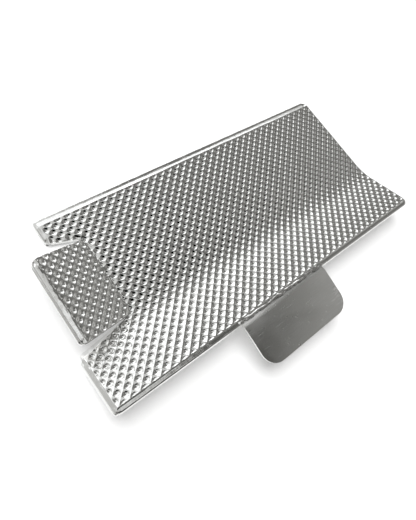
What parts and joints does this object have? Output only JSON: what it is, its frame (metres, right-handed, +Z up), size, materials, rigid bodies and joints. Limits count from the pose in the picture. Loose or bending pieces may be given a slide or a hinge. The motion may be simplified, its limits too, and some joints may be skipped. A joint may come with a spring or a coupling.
{
  "type": "firewall heat shield",
  "caption": "Bent aluminium heat shield: a dimpled bright skin rolled round a plain backing plate, with a folded finger at one end and a plain mounting tab.",
  "frame": {"origin": "under the middle of the shield's box, on the surface that it lies on", "axes": "+X along the shield's length, from the notched end to the square end; +Y towards the edge without the tab; +Z up, out of the dimpled side"},
  "size_m": [0.2336, 0.1352, 0.0177],
  "materials": {
    "plain_sheet": "mill finish, satin",
    "embossed_sheet": "bright, embossed"
  },
  "bodies": {
    "root": {"backing_plate": "plain_sheet", "dimpled_skin": "embossed_sheet"}
  },
  "joints": []
}
